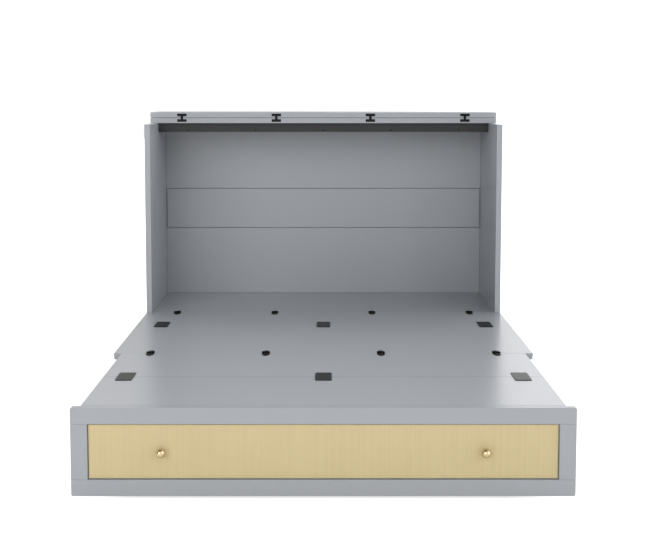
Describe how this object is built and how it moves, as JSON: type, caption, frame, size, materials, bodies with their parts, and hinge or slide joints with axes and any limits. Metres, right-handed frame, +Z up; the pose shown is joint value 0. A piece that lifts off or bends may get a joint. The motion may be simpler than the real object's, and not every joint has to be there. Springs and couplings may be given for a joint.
{
  "type": "cabinet bed",
  "caption": "Fold-out bed in a low cabinet: two-part lid, fold-down front panel, folding foot panel and a wide drawer on casters that carries the foot end.",
  "frame": {"origin": "on the floor, under the middle of the opened bed's outline", "axes": "+Z up, +Y from the foot end towards the cabinet's back, +X to the right seen from the foot end"},
  "size_m": [1.64, 2.248, 1.2113],
  "materials": {
    "grey_lacquer": "satin lacquer",
    "woven_straw": "natural weave",
    "knob_brass": "polished",
    "black_steel": "satin black",
    "plain_steel": "zinc plated",
    "drawer_plywood": "clear lacquered birch",
    "bare_softwood": "planed",
    "black_plastic": "moulded"
  },
  "bodies": {
    "cabinet": {"side_left": "grey_lacquer", "side_right": "grey_lacquer", "fixed_deck": "grey_lacquer", "deck_cleats": "bare_softwood", "deck_front_rail": "bare_softwood", "deck_rear_rail": "bare_softwood", "back_lower": "grey_lacquer", "back_middle": "grey_lacquer", "back_upper": "grey_lacquer", "base_back": "grey_lacquer", "side_glides": "black_plastic", "top_rail": "black_steel", "fixed_top": "grey_lacquer", "top_hinge_fixed_leaves": "black_steel", "top_hinge_pins": "plain_steel", "cabinet_hinge_deck_leaves": "black_steel", "cabinet_hinge_pins": "plain_steel"},
    "top_flap": {"top_flap": "grey_lacquer", "top_hinge_flap_leaves": "black_steel"},
    "front_panel": {"front_board_near": "grey_lacquer", "front_board_far": "grey_lacquer", "fascia_rails": "grey_lacquer", "fascia_stiles": "grey_lacquer", "fascia_insets": "woven_straw", "fascia_knobs": "knob_brass", "front_panel_plates": "black_steel", "cabinet_hinge_panel_leaves": "black_steel", "foot_hinge_front_leaves": "black_steel", "foot_hinge_pins": "plain_steel"},
    "foot_panel": {"foot_board_inner": "grey_lacquer", "foot_board_outer": "grey_lacquer", "foot_battens": "bare_softwood", "foot_panel_plates": "black_steel", "leg_tubes": "black_steel", "leg_plates": "black_steel", "leg_feet": "black_plastic", "foot_hinge_foot_leaves": "black_steel"},
    "drawer": {"drawer_front_board": "grey_lacquer", "drawer_front_rails": "grey_lacquer", "drawer_front_stiles": "grey_lacquer", "drawer_front_inset": "woven_straw", "drawer_knobs": "knob_brass", "drawer_sub_front": "drawer_plywood", "drawer_bearer": "bare_softwood", "drawer_side_left": "drawer_plywood", "drawer_side_right": "drawer_plywood", "drawer_back": "drawer_plywood", "drawer_divider": "drawer_plywood", "drawer_floor": "drawer_plywood", "caster_forks": "plain_steel", "caster_axles": "plain_steel"},
    "wheel_front_left": {"wheel_front_left": "black_plastic"},
    "wheel_front_right": {"wheel_front_right": "black_plastic"},
    "wheel_rear_left": {"wheel_rear_left": "black_plastic"},
    "wheel_rear_right": {"wheel_rear_right": "black_plastic"}
  },
  "joints": [
    {"name": "front_panel_fold", "type": "hinge", "parent": "cabinet", "child": "front_panel", "pos_m": [0, 0.549, 0.30375], "axis": [-1, 0, 0], "range_deg": [0, 90]},
    {"name": "foot_panel_fold", "type": "hinge", "parent": "front_panel", "child": "foot_panel", "pos_m": [0, -0.301, 0.30375], "axis": [-1, 0, 0], "range_deg": [0, 180]},
    {"name": "top_flap_fold", "type": "hinge", "parent": "cabinet", "child": "top_flap", "pos_m": [0, 0.816, 1.18565], "axis": [1, 0, 0], "range_deg": [0, 180]},
    {"name": "drawer_slide", "type": "slide", "parent": "cabinet", "child": "drawer", "axis": [0, 1, 0], "range_m": [0, 1.6163]},
    {"name": "wheel_front_left_spin", "type": "hinge", "parent": "drawer", "child": "wheel_front_left", "pos_m": [-0.6, -1.011, 0.02], "axis": [1, 0, 0], "continuous": true},
    {"name": "wheel_front_right_spin", "type": "hinge", "parent": "drawer", "child": "wheel_front_right", "pos_m": [0.6, -1.011, 0.02], "axis": [1, 0, 0], "continuous": true},
    {"name": "wheel_rear_left_spin", "type": "hinge", "parent": "drawer", "child": "wheel_rear_left", "pos_m": [-0.6, -0.691, 0.02], "axis": [1, 0, 0], "continuous": true},
    {"name": "wheel_rear_right_spin", "type": "hinge", "parent": "drawer", "child": "wheel_rear_right", "pos_m": [0.6, -0.691, 0.02], "axis": [1, 0, 0], "continuous": true}
  ],
  "couplings": [
    {"joint": "top_flap_fold", "follows": "foot_panel_fold", "ratio": 1},
    {"joint": "drawer_slide", "follows": "front_panel_fold", "m_per_rad": 1.0289}
  ]
}
